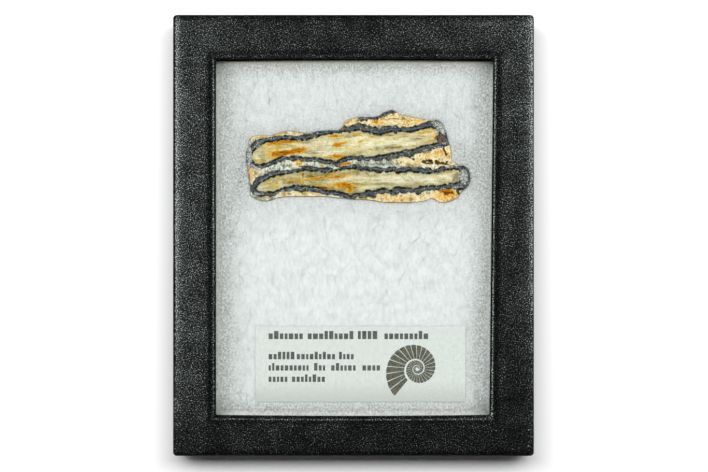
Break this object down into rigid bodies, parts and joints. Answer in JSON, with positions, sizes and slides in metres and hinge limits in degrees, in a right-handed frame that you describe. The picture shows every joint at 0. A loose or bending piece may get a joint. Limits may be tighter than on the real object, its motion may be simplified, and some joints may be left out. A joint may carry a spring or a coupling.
{
  "type": "fossil mammoth tooth slice in a small display case",
  "caption": "Polished slice of fossil mammoth tooth on white batting under glass, with a small card label, in a shallow black paper-covered display case.",
  "frame": {"origin": "middle of the case's underside", "axes": "+X across the case's width, +Y up its height towards the edge nearest the slice, +Z out of the window"},
  "size_m": [0.1142, 0.1396, 0.0191],
  "materials": {
    "case_paper": "black grained paper over pressed board",
    "pane": "clear flat glass",
    "batting": "loose white polyester fibre",
    "fossil": "polished cream dentine and cement with blue-black enamel ridges",
    "card": "matt printed card"
  },
  "bodies": {
    "root": {"tray": "case_paper", "lid": "case_paper", "window_glass": "pane", "batting": "batting", "tooth_slice": "fossil", "label": "card"}
  },
  "joints": []
}
